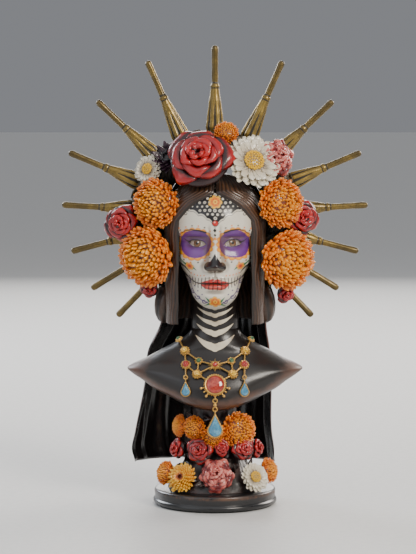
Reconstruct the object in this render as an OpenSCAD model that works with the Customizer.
// Catrina bust figurine: a painted bust on a flower-covered pedestal, with a
// halo of rays, a flower headdress, a stiff veil and a necklace with hanging drops.
// Millimetres. Origin at the middle of the underside, +Z up, the face looks along -Y.

/* [Base] */
// Radius of the round plinth
plinth_r = 34; // [32:1:42]
// Height of the plinth above its felt pad
plinth_h = 8.2; // [7:0.2:12]
// Thickness of the felt pad under the plinth
felt_t = 0.8; // [0.6:0.1:1.5]
// Height of the flower pedestal between plinth and bust
pedestal_h = 44; // [37:0.1:53]
// Radius of the pedestal where it stands on the plinth
pedestal_r = 26; // [22:1:30]

/* [Bust] */
// Width over the shoulders
shoulder_w = 96; // [80:0.1:116]
// Height of the bust from its lowest edge to the root of the neck
bust_h = 44; // [37:1:53]
// How far the chest stands forward of the neck axis line
chest_d = 27.5; // [23:0.5:32]
// How far the shoulders reach back
back_d = 14; // [11:0.5:17]
// Radius of the neck
neck_r = 13; // [10.8:0.2:15.6]
// Height of the neck from its root to its top inside the head
neck_h = 27; // [23:1:30]

/* [Head] */
// Radius of the skull
skull_r = 25.5; // [21.2:0.1:30.6]
// Height of the skull's centre above the root of the neck
skull_rise = 57; // [50:1:64]
// Radius of the rounded chin
chin_r = 13; // [10.8:0.1:15.6]
// Height of the skull's centre above the underside of the chin
chin_drop = 46; // [39:1:55]
// Thickness of the hair over the skull
hair_t = 2.4; // [1.6:0.1:3.6]
// Length of the hair below the skull's centre
hair_drop = 54; // [46:1:62]

/* [Halo] */
// Radius of the circle that the ray tips reach
halo_r = 84; // [76:0.1:100.8]
// Radius of a ray at its tip
ray_tip_r = 1.35; // [1.1:0.05:1.8]
// Radius of a ray at its root
ray_root_r = 5; // [4:0.1:5.2]
// Radius of the peg that holds a ray
ray_peg_r = 1.6; // [1.2:0.1:2.2]
// Depth of the wreath core from front to back
wreath_d = 10; // [8.4:0.5:12]

/* [Veil] */
// Thickness of the veil
veil_t = 1.8; // [1.2:0.1:2.6]
// Height of the veil's hem above the underside
veil_hem = 20; // [16:1:30]

/* [Flowers] */
// Size of every flower against the drawn ones
flower_k = 1; // [0.8:0.01:1.2]
// Radius of a flower's stem
stem_r = 1.5; // [1.1:0.1:1.8]

/* [Jewels] */
// Radius of the medallion stone
medallion_r = 4.9; // [4:0.1:6]
// Length of the centre drop
drop_l = 13; // [10.6:0.2:15.6]
// Half width of the centre drop
drop_r = 4; // [3.2:0.1:4.8]
// Radius of the wire that loops and eyes are bent from
wire_r = 0.32; // [0.26:0.02:0.4]

/* [Armature] */
// Radius of the armature rod
rod_r = 2.5; // [2:0.1:3]

/* [Hidden] */
rays_each_side = 7;
ray_nodes = [for (k = [1 : 2 * rays_each_side + 1]) str("ray_", k < 10 ? "0" : "", k)];

// clearances
fit = 0.05;        // rod, nut and tenons in their bores
seat_gap = 0.12;   // stems in their sockets, flowers beside each other
jewel_gap = 0.7;   // jewels over the chest

// heights that stack up from the underside
plinth_top = felt_t + plinth_h;
bust_z = plinth_top + pedestal_h;
neck_z = bust_z + bust_h;
neck_y = 1.3;
skull_z = neck_z + skull_rise;
skull_y = -1;
hair_r = skull_r + seat_gap + hair_t;
chin_dy = -10;
chin_dz = chin_r - chin_drop;

// what the flowers and the veil were drawn against: they grow with the hair and the pedestal
drawn_skull_z = 154;
drawn_plinth_top = 9;
hair_k = hair_r / 28.02;
pedestal_k = [pedestal_r / 26, pedestal_h / 44];

// the wreath behind the hair, whose two ends also set how tall the locks of hair are
wreath_z = skull_z + 5;
wreath_in = hair_r - 1;
wreath_w = 19 * hair_k;
wreath_out = wreath_in + wreath_w;
wreath_half_angle = 141;

round_fn = 64;
ball_fn = 72;

// ---------- helpers ----------

function unit(v) = v / norm(v);

// Turns the +Z axis of its children to direction n, at point p
module along(p, n) {
    u = unit(n);
    translate(p) rotate([0, acos(u[2]), atan2(u[1], u[0])]) children();
}

// A straight round bar from p to q
module bar(p, q, r) {
    along(p, q - p) cylinder(h = norm(q - p), r = r, $fn = 24);
}

// A bent wire ring of radius ring_r, lying flat
module wire_ring(ring_r, r) {
    rotate_extrude($fn = 32) translate([ring_r, 0]) circle(r = r, $fn = 16);
}

// Closed skin over a stack of rings that all have n points and run clockwise seen from
// above. caps are the faces that close the lowest ring, as point numbers.
module skin(rings, n, caps) {
    last = len(rings) - 1;
    sides = [for (i = [0 : last - 1], j = [0 : n - 1])
        [i * n + j, i * n + (j + 1) % n, (i + 1) * n + (j + 1) % n, (i + 1) * n + j]];
    crown = [for (cap = caps) [for (i = [len(cap) - 1 : -1 : 0]) last * n + cap[i]]];
    polyhedron(points = [for (ring = rings) each ring], faces = concat(sides, caps, crown));
}

// ---------- base ----------

nut_hex_r = 4.6;
nut_flange_r = 5.6;
nut_h = 3;
flange_t = 0.8;
nut_recess = nut_h + flange_t + 0.6;
recess_r = nut_flange_r + 0.6;
rod_foot = felt_t + 0.4;
rod_top = neck_z + 5;

felt_inset = 2;

module felt_pad() {
    color([0.10, 0.16, 0.12]) cylinder(h = felt_t, r = plinth_r - felt_inset, $fn = round_fn);
}

module plinth() {
    edge = 1.6;
    arc = [for (a = [0 : 15 : 90]) [plinth_r - edge + edge * cos(a), plinth_h - edge + edge * sin(a)]];
    outline = concat([[0, 0], [plinth_r - 0.6, 0], [plinth_r, 0.6]], arc, [[0, plinth_h]]);
    color([0.03, 0.03, 0.035]) difference() {
        translate([0, 0, felt_t]) rotate_extrude($fn = round_fn) polygon(outline);
        translate([0, 0, felt_t - 1]) cylinder(h = nut_recess + 1, r = recess_r, $fn = 32);
        translate([0, 0, felt_t]) cylinder(h = plinth_h + 1, r = rod_r + fit, $fn = 32);
    }
}

module armature_rod() {
    color([0.6, 0.6, 0.62]) translate([0, 0, rod_foot])
        cylinder(h = rod_top - rod_foot, r = rod_r, $fn = 32);
}

module rod_nut() {
    top = felt_t + nut_recess;
    color([0.65, 0.63, 0.55]) difference() {
        union() {
            translate([0, 0, top - flange_t]) cylinder(h = flange_t, r = nut_flange_r, $fn = 32);
            translate([0, 0, top - flange_t - nut_h]) cylinder(h = nut_h, r = nut_hex_r, $fn = 6);
        }
        translate([0, 0, felt_t]) cylinder(h = nut_recess + 1, r = rod_r + fit, $fn = 32);
    }
}

spigot_r = 9;
spigot_h = 8;

// Radius of the pedestal's core as a share of its foot, against the share of its height
PEDESTAL_SIDE = [[0, 1], [0.10, 0.96], [0.28, 0.73], [0.48, 0.58], [0.68, 0.51], [1, 0.47]];

module pedestal() {
    side = [for (p = PEDESTAL_SIDE) [pedestal_r * p[1], pedestal_h * p[0]]];
    top_point = [[spigot_r, pedestal_h], [spigot_r, pedestal_h + spigot_h], [0, pedestal_h + spigot_h]];
    color([0.13, 0.05, 0.04]) difference() {
        translate([0, 0, plinth_top]) rotate_extrude($fn = round_fn)
            polygon(concat([[0, 0]], side, top_point));
        translate([0, 0, plinth_top - 1])
            cylinder(h = pedestal_h + spigot_h + 2, r = rod_r + fit, $fn = 32);
        for (i = [first_base_flower : last_flower]) flower_body(FLOWERS[i], seat_gap);
    }
}

// ---------- bust ----------

// Share of the bust's height, then half width, front depth and back depth as shares
BUST_RINGS = [[0, 0.10, 0.62, 0.62], [0.034, 0.27, 0.84, 0.82], [0.09, 0.42, 0.96, 0.95],
    [0.16, 0.54, 1.00, 1.00], [0.25, 0.70, 0.975, 1.00], [0.352, 0.83, 0.92, 0.97],
    [0.432, 0.94, 0.85, 0.93], [0.5, 1.00, 0.77, 0.88], [0.557, 0.93, 0.71, 0.88],
    [0.636, 0.77, 0.62, 0.92], [0.727, 0.62, 0.53, 0.97]];
// the last rings close in on the round neck
BUST_TOP = [[0.818, 0.45], [0.909, 0.14], [1, 0]];

function neck_ring(s, k) = [s, (neck_r + k * 20) * 2 / shoulder_w,
    (neck_r - neck_y + k * 4) / chest_d, (neck_r + neck_y + k * 1) / back_d];
bust_rings = concat(BUST_RINGS, [for (t = BUST_TOP) neck_ring(t[0], t[1])]);

function bust_share(z, column) =
    lookup((z - bust_z) / bust_h, [for (ring = bust_rings) [ring[0], ring[column]]]);
function bust_half(z) = shoulder_w / 2 * bust_share(z, 1);
function bust_front(z) = chest_d * bust_share(z, 2);
function bust_back(z) = back_d * bust_share(z, 3);
// y of the chest's front surface
function chest_y(x, z) = -bust_front(z) * sqrt(max(0, 1 - pow(x / bust_half(z), 2)));

bust_sides = 44;

module bust() {
    rings = [for (ring = bust_rings) let (z = bust_z + bust_h * ring[0])
        [for (j = [0 : bust_sides - 1]) let (a = -360 * j / bust_sides)
            [bust_half(z) * cos(a), sin(a) * (sin(a) < 0 ? bust_front(z) : bust_back(z)), z]]];
    color([0.10, 0.065, 0.055]) difference() {
        union() {
            skin(rings, bust_sides, [[for (j = [bust_sides - 1 : -1 : 0]) j]]);
            translate([0, neck_y, neck_z - 6]) cylinder(h = neck_h + 6, r = neck_r - 0.1, $fn = round_fn);
        }
        translate([0, 0, bust_z - 1]) cylinder(h = spigot_h + 1 + fit, r = spigot_r + fit, $fn = round_fn);
        translate([0, 0, bust_z]) cylinder(h = rod_top - bust_z + 0.5, r = rod_r + fit, $fn = 32);
    }
}

// ---------- head and hair ----------

chin_span = norm([chin_dy, chin_dz]);
chin_tilt = atan2(-chin_dy, -chin_dz);

// Outline of a skull ball and a chin ball joined by their common tangent, grown by g
function face_outline(g) = let (lean = asin((skull_r - chin_r) / chin_span))
    concat([for (a = [90 : -10 : -lean]) [(skull_r + g) * cos(a), (skull_r + g) * sin(a)]],
        [for (a = [-lean : -10 : -89]) [(chin_r + g) * cos(a), (chin_r + g) * sin(a) - chin_span]],
        [[0, -chin_r - g - chin_span]]);

module head() {
    nape_r = neck_r + 2;
    nape_z = neck_z + neck_h - 8;
    color([0.93, 0.88, 0.78]) difference() {
        union() {
            translate([0, skull_y, skull_z]) rotate([-chin_tilt, 0, 0])
                rotate_extrude($fn = round_fn) polygon(face_outline(0));
            translate([0, neck_y, nape_z]) cylinder(h = skull_z - nape_z, r = nape_r, $fn = round_fn);
        }
        translate([0, neck_y, neck_z - 1])
            cylinder(h = neck_h + 1 + fit, r = neck_r - 0.1 + fit, $fn = round_fn);
    }
}

lock_r = 6.6;
lock_gap = 2.24;    // clear height between a lock and the wreath's end
lock_foot = skull_z - hair_drop - 1;
lock_l = wreath_z + wreath_out * cos(wreath_half_angle) - lock_gap - lock_foot;
lock_x = 0.95 * hair_r + 1;
lock_y = 4;
lock_lean = 4;
hair_inset = 0.5;   // how much thinner the hair is inside, below the skull
// hair outline below the skull's centre: share of the drop, radius against the skull hair
HAIR_FALL = [[0.35, 0.97], [0.75, 0.96], [1, 0.95]];

module hair_lock(side) {
    side_points = [[0, 0], [0.34, 0.03], [0.72, 0.16], [0.97, 0.38], [1, 0.55],
        [0.86, 0.78], [0.5, 0.95], [0, 1]];
    translate([side * lock_x, lock_y, lock_foot]) rotate([0, -side * lock_lean, 0])
        rotate_extrude($fn = 40) polygon([for (p = side_points) [lock_r * p[0], lock_l * p[1]]]);
}

// The opening in the hair that shows the face and the neck
module face_window() {
    sill = skull_z - hair_drop - 6;
    half = 0.83 * skull_r;
    low_half = lock_x - lock_r + 1.5;
    outline = [[-low_half, sill], [-low_half, skull_z - 30], [-half, skull_z - 16], [-half, skull_z + 3],
        [-0.55 * half, skull_z + 13], [0, skull_z + 18.5], [0.55 * half, skull_z + 13],
        [half, skull_z + 3], [half, skull_z - 16], [low_half, skull_z - 30], [low_half, sill]];
    translate([0, skull_y - 3, 0]) rotate([90, 0, 0]) linear_extrude(height = 60) polygon(outline);
}

// Outline of the hair from its crown to its lower edge, grown by g
function hair_outline(g) = concat([for (a = [90 : -10 : 0]) [(hair_r + g) * cos(a), (hair_r + g) * sin(a)]],
    [for (f = HAIR_FALL) [(hair_r + g) * f[1], -hair_drop * f[0]]]);

// The space that the hair takes, which the headdress keeps out of
module hair_room() {
    translate([0, skull_y, skull_z]) rotate_extrude($fn = round_fn)
        polygon(concat(hair_outline(seat_gap), [[0, -hair_drop]]));
}

module hair() {
    inner_r = skull_r + seat_gap;
    fall = [for (f = [2 : -1 : 0]) [inner_r * HAIR_FALL[f][1] - hair_inset, -hair_drop * HAIR_FALL[f][0]]];
    inner = concat(fall, [for (a = [0 : 10 : 90]) [inner_r * cos(a), inner_r * sin(a)]]);
    color([0.16, 0.09, 0.05]) difference() {
        union() {
            difference() {
                translate([0, skull_y, skull_z]) rotate_extrude($fn = round_fn)
                    polygon(concat(hair_outline(0), inner));
                face_window();
            }
            hair_lock(-1);
            hair_lock(1);
        }
        // the locks keep clear of the neck
        translate([0, skull_y, skull_z - hair_drop - 3])
            cylinder(h = hair_drop, r = lock_x - lock_r - 0.6, $fn = round_fn);
    }
}

// ---------- veil ----------

veil_cols = 26;
veil_top = skull_z + 22;
// Share of the way from hem to top, sideways shift of the middle, half width
VEIL_WIDTH = [[0, -5.5, 38.5], [0.04, -6.5, 39.5], [0.11, -6.3, 37.8], [0.28, -3.8, 34.7],
    [0.40, -3.2, 33], [0.50, -0.7, 28.5], [0.62, 0, 30.5], [0.86, 0, 30], [0.93, 0, 27.5], [1, 0, 21]];
VEIL_ROWS = [0, 0.04, 0.11, 0.2, 0.28, 0.40, 0.50, 0.62, 0.74, 0.86, 0.9, 0.935, 0.97, 1];

function veil_shift(s) = lookup(s, [for (w = VEIL_WIDTH) [w[0], w[1]]]);
function veil_half(s) = lookup(s, [for (w = VEIL_WIDTH) [w[0], w[2]]]) * hair_k;
// y of the veil's middle line, which lies over the back of the hair
function veil_back(z) = let (rise = max(0, z - skull_z))
    skull_y + sqrt(max(1, pow(hair_r + veil_gap, 2) - rise * rise)) + veil_t
    + hem_flare * pow(max(0, 1 - (z - veil_hem) / 70), 2);
// y of the veil's side edges, which stay behind the wreath
wreath_front = 2;
wreath_back = wreath_front + wreath_d;
veil_gap = 0.8;
hem_flare = 2.2;
function veil_edge(z) = wreath_back + 0.3 + 2.5 * max(0, 1 - (z - veil_hem) / 100);

function veil_point(s, c, inward) = let (z = veil_hem + (veil_top - veil_hem) * s,
    half = veil_half(s) - inward, side = 2 * c / veil_cols - 1, a = 90 * side,
    deep = veil_back(z) - inward - veil_edge(z))
    [veil_shift(s) + half * sin(a), veil_edge(z) + deep * cos(a), z];

module veil() {
    n = 2 * (veil_cols + 1);
    rings = [for (s = VEIL_ROWS) concat([for (c = [0 : veil_cols]) veil_point(s, c, 0)],
        [for (c = [veil_cols : -1 : 0]) veil_point(s, c, veil_t)])];
    hem = [for (c = [0 : veil_cols - 1]) [c + 1, c, n - 1 - c, n - 2 - c]];
    color([0.03, 0.03, 0.035]) skin(rings, n, hem);
}

// ---------- wreath and rays ----------

ray_y = wreath_front + wreath_d * 0.6;
peg_l = 6;

module wreath_core() {
    round_over = 3;
    profile = [[wreath_in, 0], [wreath_out - round_over, 0], [wreath_out, round_over],
        [wreath_out, wreath_d - round_over], [wreath_out - round_over, wreath_d], [wreath_in, wreath_d]];
    color([0.08, 0.07, 0.04]) difference() {
        translate([0, wreath_front, wreath_z]) rotate([-90, 0, 0])
            rotate([0, 0, -90 - wreath_half_angle])
            rotate_extrude(angle = 2 * wreath_half_angle, $fn = round_fn) polygon(profile);
        hair_room();
        for (k = [-rays_each_side : rays_each_side]) place_ray(k)
            translate([0, 0, -peg_l - 0.3]) cylinder(h = peg_l + 0.3, r = ray_peg_r + fit, $fn = 24);
        for (i = [0 : first_base_flower - 1]) flower_body(FLOWERS[i], seat_gap);
    }
}

// Angle of ray k from straight up: the rays close up a little towards the bottom
function ray_angle(k) = k * (24.6 - 0.73 * abs(k));
ray_foot = wreath_out + fit;
halo_rise = 8;   // how far the circle of the tips is centred above the wreath's centre
function ray_length(k) = let (a = ray_angle(k))
    halo_rise * cos(a) + sqrt(halo_r * halo_r - pow(halo_rise * sin(a), 2)) - ray_foot;

// Moves its children to the foot of ray k, with +Z along the ray
module place_ray(k) {
    translate([0, ray_y, wreath_z]) rotate([0, ray_angle(k), 0]) translate([0, 0, ray_foot]) children();
}

rod_share = 0.7198;   // the thin end's share of the shortest ray
rod_l = rod_share * ray_length(rays_each_side);
collar_r = ray_tip_r + 0.75;
shaft_r = ray_tip_r + 0.2;

module ray(k) {
    l = ray_length(k);
    collar = l - rod_l;
    outline = [[0, -peg_l], [ray_peg_r, -peg_l], [ray_peg_r, 0], [ray_root_r * 0.92, 0], [ray_root_r, 1.2],
        [ray_root_r * 0.62, collar * 0.55], [collar_r, collar], [collar_r, collar + 2],
        [shaft_r, collar + 2.8], [shaft_r, l - 1.4], [ray_tip_r, l - 0.4], [ray_tip_r * 0.6, l], [0, l]];
    color([0.50, 0.42, 0.18]) place_ray(k) rotate_extrude($fn = 40) polygon(outline);
}

// ---------- flowers ----------

// The headdress is placed around the skull's centre, the pedestal flowers above the plinth.
function high(x, y, z) = [x * hair_k, y, skull_z + (z - drawn_skull_z) * hair_k];
function low(x, y, z) =
    [x * pedestal_k[0], y * pedestal_k[0], plinth_top + (z - drawn_plinth_top) * pedestal_k[1]];

rose_red = [0.55, 0.04, 0.04];
gold_orange = [0.88, 0.45, 0.05];
petal_pink = [0.80, 0.38, 0.38];
petal_white = [0.90, 0.87, 0.78];
plum = [0.10, 0.03, 0.08];
warm_yellow = [0.90, 0.60, 0.08];

// name, middle of the back, facing direction, radius, depth, end of the stem, colour.
// A flower gives way to every flower above it in the list.
FLOWERS = [
    ["crown_rose", high(-8, -15, 189), [-0.12, -0.85, 0.50], 19, 11, high(-8, 6, 190), rose_red],
    ["marigold_lower_left", high(-36, -8.3, 137), [-0.53, -0.85, -0.1], 17.2, 10, high(-37, 6, 138.5), gold_orange],
    ["marigold_lower_right", high(38, -8, 135), [0.52, -0.85, -0.1], 17.2, 10, high(36, 6, 137), gold_orange],
    ["crown_daisy", high(20.3, -14, 188), [0.28, -0.87, 0.40], 15.3, 5, high(20.3, 6, 188), petal_white],
    ["marigold_upper_left", high(-31, -10.5, 165.6), [-0.47, -0.88, 0.05], 14, 9, high(-34, 6, 165), gold_orange],
    ["marigold_upper_right", high(34.5, -10.5, 165.6), [0.47, -0.88, 0.05], 14, 9, high(35, 6, 165), gold_orange],
    ["crown_carnation", high(32.5, -5.4, 189.5), [0.50, -0.80, 0.30], 11, 8, high(30, 6, 186), petal_pink],
    ["plum_dahlia", high(-25.5, -4.5, 190), [-0.30, -0.85, 0.40], 10, 5, high(-25, 6, 188), plum],
    ["side_rose_left", high(-50, -2.4, 154.5), [-0.33, -0.94, 0], 11, 7, high(-41, 6, 155), rose_red],
    ["side_rose_right", high(47, -2.4, 158), [0.33, -0.94, 0], 11, 7, high(41, 6, 157), rose_red],
    ["low_rosebud_left", high(-35.5, -3, 118.7), [-0.3, -0.9, -0.3], 5.6, 4.4, high(-29.5, 2.8, 129), rose_red],
    ["low_rosebud_right", high(38.4, -3, 116.4), [0.3, -0.9, -0.3], 5.6, 4.4, high(30, 2.8, 128.5), rose_red],
    ["small_daisy", high(-36, -3, 183.5), [-0.50, -0.80, 0.30], 8.5, 3.5, high(-32, 6, 180), petal_white],
    ["small_marigold", high(6, -5, 203), [0.1, -0.80, 0.55], 7, 5, high(5, 6, 199), gold_orange],
    ["base_carnation", low(1, -21.5, 18.6), [0, -0.92, 0.35], 9.9, 7.5, low(0.5, -10, 17), petal_pink],
    ["base_chrysanthemum", low(-17.7, -19.5, 17), [-0.45, -0.80, 0.40], 8.8, 5, low(-8, -8, 16), warm_yellow],
    ["base_daisy", low(21.2, -18.5, 17), [0.45, -0.80, 0.40], 8.4, 4, low(8, -8, 16), petal_white],
    ["base_marigold_left", low(-26, -9, 18), [-0.80, -0.55, 0.25], 7, 5, low(-11, -4, 17), gold_orange],
    ["base_marigold_right", low(28.5, -8, 19), [0.82, -0.52, 0.25], 7.2, 5, low(11, -3.5, 18), gold_orange],
    ["middle_rose_left", low(-7.8, -16.5, 31.5), [-0.28, -0.93, 0.25], 8.2, 6, low(-4, -9, 31), rose_red],
    ["middle_rose_right", low(14.2, -14.5, 32.3), [0.48, -0.85, 0.25], 7.4, 5.5, low(7, -7, 31.5), rose_red],
    ["middle_rosebud", low(3.4, -18, 33), [0.05, -0.97, 0.20], 4.9, 4.5, low(1, -9, 33), rose_red],
    ["far_rose_left", low(-19.5, -8, 31), [-0.85, -0.50, 0.20], 6.2, 5, low(-8.5, -3.5, 31), rose_red],
    ["far_rose_right", low(21.5, -7, 31.3), [0.88, -0.45, 0.20], 6.2, 5, low(8.5, -3, 31), rose_red],
    ["top_marigold_right", low(12, -12.5, 42.3), [0.42, -0.90, 0.10], 10.3, 7, low(6, -7, 42), gold_orange],
    ["top_marigold_centre", low(-1.2, -17, 39.3), [0, -0.97, 0.05], 6.3, 5, low(-0.5, -9.5, 39), gold_orange],
    ["top_marigold_left", low(-10.5, -12.5, 43.5), [-0.55, -0.82, 0.10], 7, 5.5, low(-6, -6.5, 43), gold_orange],
    ["far_marigold_left", low(-18, -5.5, 43.5), [-0.93, -0.35, 0.10], 6.5, 5, low(-8, -2.5, 43), gold_orange]];
first_base_flower = 14;
last_flower = len(FLOWERS) - 1;

// A low dome: the round cap of a ball, r wide and h deep
module dome(r, h) {
    ball_r = (r * r + h * h) / (2 * h);
    intersection() {
        translate([0, 0, h - ball_r]) sphere(r = ball_r, $fn = ball_fn);
        cylinder(h = h + 1, r = r + 1, $fn = ball_fn);
    }
}

// Head and stem of flower f, grown by g all round
module flower_body(f, g) {
    r = f[3] * flower_k;
    stem_start = f[1] + unit(f[2]) * 0.8;
    along(f[1], f[2]) translate([0, 0, -g]) dome(r + 2 * g, f[4] * flower_k + 2.5 * g);
    bar(stem_start, f[5] + unit(f[5] - stem_start) * g, stem_r + g);
}

function close_by(f, other) = norm(f[1] - other[1]) < (f[3] + other[3]) * flower_k + 1
    || norm(f[1] - other[5]) < f[3] * flower_k + 3 || norm(other[1] - f[5]) < other[3] * flower_k + 3;

module flower(name) {
    index = [for (i = [0 : last_flower]) if (FLOWERS[i][0] == name) i][0];
    f = FLOWERS[index];
    at_base = index >= first_base_flower;
    color(f[6]) difference() {
        flower_body(f, 0);
        for (i = [0 : index - 1]) {
            same_tier = at_base == (i >= first_base_flower);
            if (same_tier && close_by(f, FLOWERS[i])) flower_body(FLOWERS[i], seat_gap);
        }
        if (at_base) translate([0, 0, plinth_top - 20]) cylinder(h = 20, r = 60, $fn = 32);
        if (!at_base) hair_room();
    }
}

// ---------- necklace ----------

// Where each small stone sits: x, height below the neck root, radius. The right half;
// the first is on the middle line and the others are mirrored.
STAR = [0, -19, 1.5];
STONES = [[19, -7, 1.3], [16, -12, 1.9], [8.7, -17, 1.4], [15.6, -19, 1.9], [9.6, -23.6, 1.9]];
medallion_z = -28.8;
setting_t = 1.2;
medallion_t = 1.8;
stone_t = 1.3;
side_eye = [15.4, -26.2];
frame_r = 0.38;

// A point over the chest, lift above the surface
function on_chest(x, dz, lift) = let (z = neck_z + dz, n = chest_normal(x, z))
    [x, chest_y(x, z), z] + n * lift;
function chest_normal(x, z) = let (e = 0.6,
    du = [2 * e, chest_y(x + e, z) - chest_y(x - e, z), 0],
    dv = [0, chest_y(x, z + e) - chest_y(x, z - e), 2 * e])
    unit(cross(du, dv));
function seat(s, side, lift) = on_chest(side * s[0], s[1], lift);

module setting(s, side) {
    along(seat(s, side, jewel_gap), chest_normal(side * s[0], neck_z + s[1]))
        cylinder(h = setting_t, r = s[2] + 0.35, $fn = 24);
}

// A bead on a short spoke beside the medallion, at an angle from its lowest point
module bead_spoke(a) {
    along(medallion_seat, medallion_n) rotate([0, 0, a]) translate([setting_r - 0.6, 0, medallion_t / 2])
        rotate([0, 90, 0]) {
            cylinder(h = 2.2, r = 0.4, $fn = 24);
            translate([0, 0, 2.4]) sphere(r = 0.75, $fn = 24);
        }
}

medallion_n = chest_normal(0, neck_z + medallion_z);
medallion_seat = on_chest(0, medallion_z, jewel_gap);
setting_r = medallion_r + 1;

module necklace_frame() {
    lift = jewel_gap + setting_t / 2;
    middle = seat(STAR, 1, lift);
    disc = medallion_seat + medallion_n * medallion_t / 2;
    color([0.72, 0.53, 0.20]) union() {
        setting(STAR, 1);
        along(medallion_seat, medallion_n) cylinder(h = medallion_t, r = setting_r, $fn = 40);
        for (side = [-1, 1]) {
            for (s = STONES) setting(s, side);
            points = [for (s = STONES) seat(s, side, lift)];
            bar(points[0], points[1], frame_r);
            bar(points[1], points[2], frame_r);
            bar(points[1], points[3], frame_r);
            bar(points[2], middle, frame_r);
            bar(points[2], points[4], frame_r);
            bar(points[3], points[4], frame_r);
            bar(points[4], middle, frame_r);
            bar(points[4], disc, frame_r);
            eye = side_pivot(side) + [0, 0, eye_r];
            bar(points[3], eye + [0, 0, eye_r], frame_r);
            translate(eye) rotate([90, 0, 0]) wire_ring(eye_r, wire_r);
            for (a = [38, 76]) bead_spoke(side * a);
        }
        bar(medallion_low, medallion_eye + [0, 0, eye_r], 0.45);
        translate(medallion_eye) rotate([0, 90, 0]) wire_ring(eye_r, wire_r);
    }
}

module necklace_stones() {
    color([0.75, 0.20, 0.12]) {
        gem(STAR, 1);
        for (side = [-1, 1]) for (s = STONES) gem(s, side);
    }
}

module gem(s, side) {
    along(seat(s, side, jewel_gap + setting_t + fit), chest_normal(side * s[0], neck_z + s[1]))
        dome(s[2], stone_t * 0.8);
}

module medallion_stone() {
    color([0.62, 0.12, 0.07]) along(medallion_seat + medallion_n * medallion_t, medallion_n)
        dome(medallion_r, 1.6);
}

// ---------- hanging drops ----------

eye_r = 1.0;
loop_r = 1.15;
hook_gap = 0.08;
eye_reach = 2.6;
eye_drop = 1.3;
link_l = 4.6;      // between the middles of the link's two rings
drop_t = 2.4;
// middle of the round eye under the medallion; it stands in the fore-and-aft plane
medallion_low = medallion_seat + medallion_n * medallion_t / 2 + [0, 0, -setting_r + 0.4];
medallion_eye = medallion_low + [0, -eye_reach, -eye_drop];
// the link turns sideways about the eye's lowest wire
link_pivot = medallion_eye - [0, 0, eye_r];
link_top = link_pivot + [0, 0, 2 * wire_r + hook_gap - loop_r];
link_foot = link_top - [0, 0, link_l];
// the drop swings fore and aft about the link's lowest wire
drop_pivot = link_foot - [0, 0, loop_r];
drop_eye = drop_pivot + [0, 0, 2 * wire_r + hook_gap - eye_r];

// A teardrop plate in the x-z plane: point up, length l and half width r, thick t
module teardrop(l, r, t) {
    centre = -l + r;
    tilt = asin(r / (l - r));
    outline = concat([[0, 0]], [for (a = [180 - tilt : 12 : 360 + tilt]) [r * cos(a), centre + r * sin(a)]],
        [[r * cos(tilt), centre + r * sin(tilt)]]);
    translate([0, t / 2, 0]) rotate([90, 0, 0]) linear_extrude(height = t) polygon(outline);
}

module pendant_link() {
    color([0.75, 0.56, 0.22]) union() {
        translate(link_top) rotate([90, 0, 0]) wire_ring(loop_r, wire_r);
        translate(link_foot) rotate([90, 0, 0]) wire_ring(loop_r, wire_r);
        translate((link_top + link_foot) / 2) sphere(r = 1.05, $fn = 24);
        bar(link_top - [0, 0, loop_r], link_foot + [0, 0, loop_r], 0.45);
    }
}

module pendant_drop() {
    color([0.20, 0.50, 0.68]) union() {
        translate(drop_eye) rotate([0, 90, 0]) wire_ring(eye_r, wire_r);
        translate(drop_eye - [0, 0, eye_r - wire_r * 0.4]) teardrop(drop_l, drop_r, drop_t);
    }
}

side_l = 8.2;
side_r = 2.5;
side_t = 1.6;
side_clear = 1.45;
function side_pivot(side) = on_chest(side * side_eye[0], side_eye[1], side_t / 2 + side_clear);
// lean that lays a side drop along the chest
side_lean = let (a = on_chest(side_eye[0], side_eye[1], 0), b = on_chest(side_eye[0], side_eye[1] - side_l, 0))
    atan2(a[1] - b[1], side_l);

module side_drop(side) {
    color([0.22, 0.52, 0.66]) translate(side_pivot(side)) rotate([-side_lean, 0, 0]) union() {
        translate([0, 0, 2 * wire_r + hook_gap - eye_r]) rotate([0, 90, 0]) wire_ring(eye_r, wire_r);
        translate([0, 0, 2.4 * wire_r + hook_gap - 2 * eye_r]) teardrop(side_l, side_r, side_t);
    }
}

// ---------- nodes ----------

felt_pad();
plinth();
pedestal();
armature_rod();
rod_nut();
bust();
head();
hair();
veil();
wreath_core();
for (i = [0 : len(ray_nodes) - 1]) ray(i - rays_each_side);
for (f = FLOWERS) flower(f[0]);
necklace_frame();
necklace_stones();
medallion_stone();
pendant_link();
pendant_drop();
side_drop(-1);  // side_drop_left
side_drop(1);  // side_drop_right
